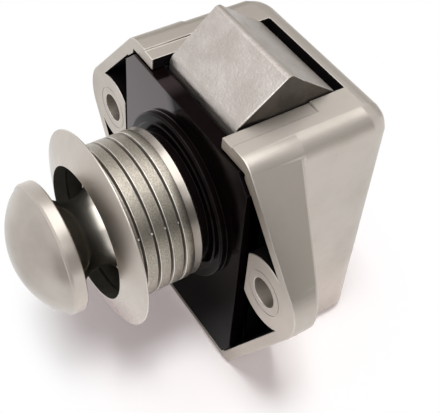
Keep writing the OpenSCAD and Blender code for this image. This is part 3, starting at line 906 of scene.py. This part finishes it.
# %% [markdown]
# ## Rosette
#
# The rosette is turned from one piece: a thin cone shaped flange and a sleeve with four ring
# grooves. Each groove is a narrow slot with a bevelled shoulder behind it; further down the slot
# gets painted shade and the shoulder's worn edges a painted highlight. The profile is one closed
# chain of points, with a loop that adds the grooves.

# %% Rosette profile
LIP_R = 9.5
FLANGE_R = 14.0
FLANGE_BACK = -12.35
ROSETTE_FRONT = -14.95
SLEEVE_R = 10.9
SLEEVE_BACK = -3.1
inner_sleeve_r = 9.98
groove_first = -11.86
groove_pitch = 1.91
groove_count = 4
groove_depth = 0.42
slot_half = 0.11
shoulder = 0.24
band_front = -4.55


def groove(place):
    """Profile points of one groove: a slot and the bevelled shoulder behind it."""
    bottom = SLEEVE_R - groove_depth
    return [(SLEEVE_R, place - slot_half), (bottom, place - slot_half + 0.03), (bottom, place + slot_half),
            (SLEEVE_R, place + slot_half + shoulder)]


rosette_profile = [
    (LIP_R, ROSETTE_FRONT), (FLANGE_R - 0.15, -13.48), (FLANGE_R, -13.38), (FLANGE_R, -13.2),
    (FLANGE_R - 0.2, -13.1), (SLEEVE_R, FLANGE_BACK)]
for i in range(groove_count):
    rosette_profile += groove(groove_first + i * groove_pitch)
rosette_profile += [
    (SLEEVE_R, band_front), (SLEEVE_R - 0.3, band_front + 0.06), (SLEEVE_R - 0.04, SLEEVE_BACK - 0.32),
    (SLEEVE_R - 0.3, SLEEVE_BACK), (inner_sleeve_r, SLEEVE_BACK), (inner_sleeve_r, -12.55),
    (LIP_R, -13.15)]
print("rosette profile:", len(rosette_profile), "points")

# %% [markdown]
# A small nub bridges every groove at the same angle, a mark of the tool that cut them. Each is
# a bevelled block that is made at its groove, turned to that angle and joined to the rosette.

# %% Rosette piece
rosette_turned = turn("rosette_turned", rosette_profile, steps=180, closed=True)
soften(rosette_turned, width=0.05, angle=35)
nub_angle = math.radians(34)
nub_round = 0.07
nub_size = (0.34, 0.26, 0.28)
nub_proud = 0.02  # how far a nub stands out of the sleeve
for i in range(groove_count):
    nub_middle = (SLEEVE_R + nub_proud - nub_size[0] / 2, groove_first + i * groove_pitch, 0)
    nub = block_at("nub", nub_middle, nub_size)
    edit(nub, everything=True)
    bpy.ops.mesh.bevel(offset=nub_round * MM, segments=2)
    bpy.ops.mesh.select_all(action="SELECT")
    bpy.ops.transform.rotate(value=nub_angle, orient_axis="Y", center_override=(0, 0, 0))
    close(nub)
    mark_faces(nub, [1.0] * len(nub.data.polygons))
    bpy.ops.object.shade_smooth_by_angle(angle=math.radians(40))
    rosette_turned.select_set(True)
    bpy.context.view_layer.objects.active = rosette_turned
    bpy.ops.object.join()
print("nubs:", groove_count)

# %% [markdown]
# The sleeve was blasted between its grooves, while the flange, the shoulders and the rear band
# are smooth. The bore and the slots of the grooves get darker finishes, which are painted shade
# for the shade that falls into them. The faces are sorted by where they are and which way they
# look.

# %% Rosette finishes
def rosette_finish(co, normal):
    """The finish of a face of the rosette."""
    radius = math.hypot(co.x, co.z)
    outward = (normal.x * co.x + normal.z * co.z) / radius
    on_grooves = groove_first - 0.5 < co.y < band_front - 0.5
    # the slots of the grooves get painted shade
    if on_grooves and LIP_R + 0.7 < radius < SLEEVE_R - 0.2:
        return shaded_groove_nickel
    # the bore's faces get painted shade
    if outward < -0.2 and co.y > ROSETTE_FRONT + 0.15:
        return painted_bore_shade
    on_sleeve = FLANGE_BACK + 0.05 < co.y < band_front - 0.02 and radius > LIP_R + 0.6
    return blasted_shaded_nickel if on_sleeve and normal.y > -0.3 else satin_nickel_turned


coat(rosette_turned, satin_nickel_turned, blasted_shaded_nickel, painted_bore_shade, shaded_groove_nickel, choose=rosette_finish)
dress(rosette_turned, "rosette", None, "satin_nickel", "rosette")

# %% [markdown]
# ## Knob
#
# The knob is turned too. Its dome isn't part of a sphere: it is fuller at its edge and flatter
# on top, so its radius follows a power curve of the height, fitted to its outline. A band with
# soft edges comes next, and then one round groove makes the waist for the fingers. The dome gets
# a darker copy of the turned finish, which is painted shade, and the waist a brighter, smoother
# one, which gives a painted highlight.

# %% Knob profile
DOME_R = 8.8
dome_front = -25.2
dome_height = 4.05
dome_power = 1.27
dome_steps = 22
BAND_R = 9.2
waist_centre = (8.9, -15.1)
waist_groove_r = 4.0
FLARE_R = 8.32
flare_end = math.degrees(math.acos((FLARE_R - waist_centre[0]) / waist_groove_r))
flare_back = -11.1
hub_r = 3.5
hub_back = -8.6

knob_profile = []
for i in range(dome_steps + 1):
    radius = DOME_R * i / dome_steps
    height = dome_height * (1 - (radius / DOME_R) ** 2) ** (1 / dome_power)
    knob_profile.append((radius, dome_front + dome_height - height))
knob_profile += [(9.0, -21.06), (BAND_R, -20.75), (BAND_R, -19.4), (9.12, -19.18)]
knob_profile += arc(waist_centre, waist_groove_r, 270, flare_end, 40)
knob_profile += [(FLARE_R, flare_back), (hub_r, flare_back), (hub_r, hub_back), (0, hub_back)]
knob_turned = turn("knob_turned", knob_profile, steps=160)
soften(knob_turned, width=0.08, angle=33, smooth_angle=24)

# %% Knob finishes
dome_back = -21.0
waist_front = waist_centre[1] - waist_groove_r + 0.15


def knob_finish(co, _):
    """The finish of a face of the knob."""
    if co.y < dome_back:
        return shaded_dome_nickel
    return lit_waist_nickel if co.y > waist_front else satin_nickel_turned


# the dome's darker tint is painted shade, the waist's brighter tint a painted highlight
coat(knob_turned, satin_nickel_turned, lit_waist_nickel, shaded_dome_nickel, choose=knob_finish)
dress(knob_turned, "knob", None, "satin_nickel", "knob")

# %% [markdown]
# ## Bolt
#
# The bolt is a small casting with two slopes, so it can latch from either side. The copy brings
# its skirts, windows and spring pockets. In edit mode the front part of each end is pressed in a
# little, which leaves a shallow crease where the two halves of the die met, and its front edge
# is rounded further with a bevel. The two ends of its top edge stay sharp, because the slopes
# and the end meet there at too narrow an angle for a bevel.

# %% Bolt shape
bolt_cast = cast_copy("bolt", "bolt_cast")
BOLT_HALF = 8.2
bolt_front_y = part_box("bolt")[0].y / MM
front_slope = math.radians(38.5)
apex = (9.7, 23.1)
front_edge_z = apex[1] - (apex[0] - bolt_front_y) * math.tan(front_slope)
crease_top = (9.3, 22.5)
crease_foot = (8.2, 17.6)
crease_depth = 0.3
lean_z = 14.2  # below this the ends stay flat
end_x = BOLT_HALF - 0.02
front_round = 0.8
across_crease = Vector((0, crease_top[1] - crease_foot[1], crease_foot[0] - crease_top[0]))

for side in (-1, 1):
    for foot, across in ((crease_foot, across_crease), ((0, lean_z), Vector((0, 0, 1)))):
        edit(bolt_cast, "FACE")
        select_where(bolt_cast, "polygons", lambda co, normal: (
            side * normal.x > 0.99 and side * co.x > end_x))
        bpy.ops.mesh.bisect(plane_co=mm(0, *foot), plane_no=across)
        close(bolt_cast)
    edit(bolt_cast)
    select_where(bolt_cast, "vertices", lambda co, _: (
        side * co.x > end_x and co.y < bolt_front_y + 0.1 and co.z > lean_z - 0.1))
    bpy.ops.transform.translate(value=mm(-side * crease_depth, 0, 0))
    close(bolt_cast)

edit(bolt_cast)
select_where(bolt_cast, "vertices", lambda co, _: (
    abs(co.y - bolt_front_y) < 0.05 and abs(co.z - front_edge_z) < 0.1))
bpy.ops.mesh.select_mode(type="EDGE")
bpy.ops.mesh.bevel(offset=front_round * MM, segments=6)
close(bolt_cast)


def at_apex(co, _):
    """Whether an edge is at one of the two ends of the bolt's top edge."""
    return co.z > apex[1] - 0.5 and abs(co.x) > BOLT_HALF - 0.2


soften(bolt_cast, width=0.16, segments=3, spare=at_apex)

# %% Bolt finish
# the end faces get painted shade
coat(bolt_cast, cast_bolt, shaded_bolt_end,
     choose=lambda _, normal: shaded_bolt_end if abs(normal.x) > 0.9 else cast_bolt)
dress(bolt_cast, "bolt", None, "cast_bolt", "bolt")

# %% [markdown]
# ## Springs
#
# A compression spring is a wire wound at an even pitch, with its last turn at each end laid
# flat. A curve that follows that path, with a round bevel, becomes the wire.

# %% Spring helper
def coil(name, node, axis, wire_r, turns, sides=48):
    """A wound spring in the place of a CAD spring. axis is the direction it is wound along."""
    low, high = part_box(node)
    middle = (low + high) / 2
    length = (high - low)[axis] - 2 * wire_r * MM
    across = [i for i in range(3) if i != axis]
    ring = (high - low)[across[0]] / 2 - wire_r * MM
    flat = 2.02 * wire_r * MM  # what a flat turn adds to the length
    curve = bpy.data.curves.new(name, "CURVE")
    curve.dimensions = "3D"
    curve.bevel_depth = wire_r * MM
    curve.bevel_resolution = 3
    curve.use_fill_caps = True
    line = curve.splines.new("POLY")
    count = turns * sides
    line.points.add(count)
    pitch = (length - 2 * flat) / (turns - 2)
    for i in range(count + 1):
        turn_now = i / sides
        rise = flat * min(turn_now, 1) + pitch * min(max(turn_now - 1, 0), turns - 2)
        rise += flat * max(turn_now - turns + 1, 0)
        place = [0.0, 0.0, 0.0]
        place[axis] = low[axis] + wire_r * MM + rise
        place[across[0]] = middle[across[0]] + ring * math.cos(turn_now * math.tau)
        place[across[1]] = middle[across[1]] + ring * math.sin(turn_now * math.tau)
        line.points[i].co = (*place, 1)
    piece = pick(add(name, curve))
    bpy.ops.object.convert(target="MESH")
    edit(piece)
    weld(0.001)
    bpy.ops.mesh.normals_make_consistent(inside=False)
    close(piece)
    bpy.ops.object.shade_smooth_by_angle(angle=math.radians(50))
    return piece


# %% Return spring
return_coil = coil("return_coil", "return_spring", axis=1, wire_r=0.33, turns=12)
dress(return_coil, "case", spring_steel, "spring_steel", "return_spring")
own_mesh(return_coil)

# %% Bolt springs
for side in ("left", "right"):
    node = "bolt_spring_" + side
    bolt_coil = coil("bolt_coil_" + side, node, axis=2, wire_r=0.25, turns=10, sides=32)
    dress(bolt_coil, "slider", spring_steel, "spring_steel", node)
    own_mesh(bolt_coil)

# %% [markdown]
# ## Case screws
#
# Four small pan head screws hold the plate in the case, and their heads show at the back. One is
# turned with a domed head and a ridged shank, a cross is cut into it, and three copies follow.
# Each copy has its own mesh.

# %% Case screw
SCREW_R = 0.9
HEAD_R = 1.5
core_r = SCREW_R - 0.15
head_back = 22.9
head_front = head_back - 0.8
head_dome_r = 3.4
shank_front = 14.5
ridge_pitch = 0.6
screw_profile = [(0, head_back)] + arc((0, head_back - head_dome_r), head_dome_r, 90, 70, 5)[1:]
screw_profile += [(HEAD_R - 0.12, head_back - 0.32), (HEAD_R, head_back - 0.45), (HEAD_R, head_front)]
screw_profile += [(core_r, head_front)]
ridge_y = head_front - 1.2
while ridge_y > shank_front + 0.9:
    screw_profile += [(core_r, ridge_y), (SCREW_R, ridge_y - 0.18), (core_r, ridge_y - 0.36)]
    ridge_y -= ridge_pitch
screw_profile += [(core_r, shank_front + 0.7), (0, shank_front)]
first_screw = turn("case_screw_1", screw_profile, steps=40)

# %% Cross in the screw's head
cross_w = 0.34
cross_l = 1.7
cross_deep = 0.5
cross_taper = (0.45, 1, 0.6)
for angle in (0, 90):
    cutter = block_at("cross_cutter", (0, head_back, 0), (cross_l, 2 * cross_deep, cross_w))
    edit(cutter)
    select_where(cutter, "polygons", lambda _, normal: normal.y < -0.5)
    bpy.ops.transform.resize(value=cross_taper, center_override=mm(0, head_back - cross_deep, 0))
    bpy.ops.mesh.select_all(action="SELECT")
    bpy.ops.transform.rotate(value=math.radians(angle), orient_axis="Y",
                             center_override=mm(0, head_back, 0))
    carve(first_screw, close(cutter))
soften(first_screw, width=0.04, angle=35, spare=lambda co, _: (
    math.hypot(co.x, co.z) < cross_l / 2 + 0.06 and co.y > head_front))

# %% Four case screws
screws = [first_screw]
screws += [add(f"case_screw_{number}", first_screw.data.copy()) for number in (2, 3, 4)]
for number, (screw, (x, z)) in enumerate(zip(screws, POST_PLACES), start=1):
    edit(screw, everything=True)
    bpy.ops.transform.rotate(value=math.radians(37 * number), orient_axis="Y", center_override=(0, 0, 0))
    bpy.ops.transform.translate(value=mm(x, 0, z))
    close(screw)
    dress(screw, "case", steel, "steel", "case_screws")

# %% [markdown]
# ## Pieces inside
#
# The guide cage, the lift slider and the plunger are plain mouldings that show only through the
# slot and the bore. Copies with softened edges catch the little light that gets in. The pins,
# the follower, its leaf and the knob's screw have the right shape already, so their CAD nodes
# stay and only get a finish.

# %% Mouldings inside
for node, name, body, slot_name in (
        ("guide_cage", "guide_cage_moulding", "case", "grey_plastic"),
        ("lift_slider", "lift_slider_moulding", "slider", "grey_plastic"),
        ("plunger", "plunger_moulding", "knob", "black_plastic")):
    moulding = soften(cast_copy(node, name), width=0.1)
    dress(moulding, body, dull_black, slot_name, node)

# %% Small steel parts
for node, material in (("knob_screw", steel), ("ramp_pin", steel), ("heart_follower", steel),
                       ("follower_leaf", spring_steel)):
    coat(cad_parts[node], material)
    print(node, "keeps its CAD shape")

# %% [markdown]
# ## Floor and light
#
# The lock stands on white paper that runs on behind it. The paper takes the lock's soft shadow.
# It also gives off a little light of its own, which only the camera and the reflections in metal
# show: the same all over for the camera, and more with the distance from the lock in reflections.
# Further out it turns plain white for both.

# %% Floor
floor = plane("paper", size=4)
floor.location.z = cad_box[0].z - 0.02 * MM
floor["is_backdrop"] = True


def seen_directly(tree):
    """1 for rays from the camera and for mirrored or refracted ones, and 0 for light bounced about."""
    path = new_node(tree, "LightPath")
    seen = math_node(tree, "MAXIMUM", path.outputs["Is Camera Ray"], path.outputs["Is Glossy Ray"])
    return math_node(tree, "MAXIMUM", seen, path.outputs["Is Transmission Ray"])


def mix_shaders(tree, factor, first, second):
    """Mixes two shaders, each the only output of its node, and returns the mixing node."""
    node = new_node(tree, "MixShader", Fac=factor)
    tree.links.new(first.outputs[0], node.inputs[1])
    tree.links.new(second.outputs[0], node.inputs[2])
    return node


# %% Paper
paper_middle = (0, 8, 0)
white_near, white_far = 22, 34
mirrored_near, mirrored_far = 12, 24
camera_glow = 0.24
mirrored_glow = 0.5
mirrored_white = 1.12

paper = bpy.data.materials.new("white_paper")
paper.use_nodes = True
tree = paper.node_tree
sheet = tree.nodes["Principled BSDF"]
feed(tree, (0.8, 0.8, 0.8, 1), sheet.inputs["Base Color"])
feed(tree, 0.9, sheet.inputs["Roughness"])
feed(tree, 0.0, sheet.inputs["Specular IOR Level"])
from_middle = distance_node(tree, paper_middle)
camera_ray = new_node(tree, "LightPath").outputs["Is Camera Ray"]
mirrored_ray = math_node(tree, "SUBTRACT", 1.0, camera_ray)
mirrored_light = math_node(tree, "MULTIPLY", mirrored_ray,
                           spread(tree, from_middle, mirrored_near * MM, mirrored_far * MM))
strength = math_node(tree, "ADD", math_node(tree, "MULTIPLY", camera_ray, camera_glow),
                     math_node(tree, "MULTIPLY", mirrored_light, mirrored_glow))
glow = new_node(tree, "Emission", Color=(1, 0.82, 0.83, 1), Strength=strength)
lit_paper = new_node(tree, "AddShader")
tree.links.new(sheet.outputs["BSDF"], lit_paper.inputs[0])
tree.links.new(glow.outputs["Emission"], lit_paper.inputs[1])
whiteness = math_node(tree, "ADD", math_node(tree, "MULTIPLY", mirrored_ray, mirrored_white - 1), 1.0)
plain_white = new_node(tree, "Emission", Color=(1, 1, 1, 1), Strength=whiteness)
far_away = spread(tree, from_middle, white_near * MM, white_far * MM)
faded = mix_shaders(tree, far_away, lit_paper, plain_white)
shown = mix_shaders(tree, seen_directly(tree), sheet, faded)
tree.links.new(shown.outputs["Shader"], tree.nodes["Material Output"].inputs["Surface"])
coat(floor, paper)

# %% [markdown]
# ### World and lamps
#
# The room is white to the camera and in the metal, and dimmer as light on the lock. A wide
# softbox overhead shows only in reflections, and a small lamp lights only what is dull, so that
# the paper gets its soft shadow. Seven cards stand round the lock, outside the picture. They too
# show only in reflections: without them satin metal mirrors white all round and looks flat, and
# with them the knob, the ears and the sleeve get their darker bands.

# %% World
world = bpy.data.worlds.new("studio")
bpy.context.scene.world = world
world.use_nodes = True
tree = world.node_tree
room = tree.nodes["Background"]
feed(tree, (1, 1, 1, 1), room.inputs["Color"])
feed(tree, 0.3, room.inputs["Strength"])
white_room = new_node(tree, "Background", Color=(1, 1, 1, 1), Strength=1.0)
mixed = mix_shaders(tree, seen_directly(tree), room, white_room)
tree.links.new(mixed.outputs["Shader"], tree.nodes["World Output"].inputs["Surface"])

# %% Lamps and cards
def aimed(obj, place, target):
    """Puts a lamp or a card at a place and turns it to face a target, both in millimetres."""
    towards = mm(*target) - mm(*place)
    obj.matrix_world = (
        Matrix.Translation(mm(*place)) @ towards.to_track_quat("-Z", "Y").to_matrix().to_4x4())


def softbox(name, place, size, power):
    """A square lamp that faces the lock. Its power is in watts."""
    lamp = bpy.data.lights.new(name, "AREA")
    lamp.size = size * MM
    lamp.energy = power
    obj = add(name, lamp)
    aimed(obj, place, (0, 0, 0))
    return obj


def dark_card(name, place, width, height, shade, target=(0, 0, 0)):
    """A card that only shows in reflections. A shade of 1 would be as white as the room."""
    card = plane(name, size=1)
    edit(card, everything=True)
    bpy.ops.transform.resize(value=(width * MM, height * MM, 1), center_override=(0, 0, 0))
    close(card)
    aimed(card, place, target)
    grey = bpy.data.materials.new(name)
    grey.use_nodes = True
    tree = grey.node_tree
    tree.nodes.remove(tree.nodes["Principled BSDF"])
    even = new_node(tree, "Emission", Color=(shade, shade * 0.97, shade * 0.93, 1))
    tree.links.new(even.outputs["Emission"], tree.nodes["Material Output"].inputs["Surface"])
    coat(card, grey)
    card.visible_camera = False
    card.visible_diffuse = False
    card.visible_shadow = False
    card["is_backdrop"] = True


softbox("overhead", (60, 0, 420), 700, 2.1).visible_diffuse = False
softbox("paper_lamp", (60, -20, 420), 130, 1.4).visible_glossy = False
dark_card("card_high", (170, 128, 236), 170, 150, 0.3)
dark_card("card_top", (-170, 128, 236), 150, 150, 0.7)
dark_card("card_left", (-60, 34, 38), 55, 50, 0.5, target=(-3, -6, 10))
dark_card("card_right", (300, 150, 70), 380, 260, 0.48)
dark_card("card_near", (34, -0.5, 17), 10, 20, 0.01, target=(8, -8, 5))
dark_card("card_back", (-100, 220, 20), 320, 120, 0.45)
dark_card("card_front", (50, -66, -2), 60, 60, 0.62, target=(7, -22, 4))

# %% [markdown]
# ## Size and finish
#
# Bevels only take material away, so the dressed lock has to stay inside the box of the CAD
# model. Both boxes are printed.

# %% Boxes and the last line
bpy.context.scene.view_settings.view_transform = "Standard"
visual_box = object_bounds()
boxes = {"cad": [list(corner) for corner in cad_box], "visual": [list(corner) for corner in visual_box]}
for name, corners in boxes.items():
    print(name, [[round(value / MM, 2) for value in corner] for corner in corners])
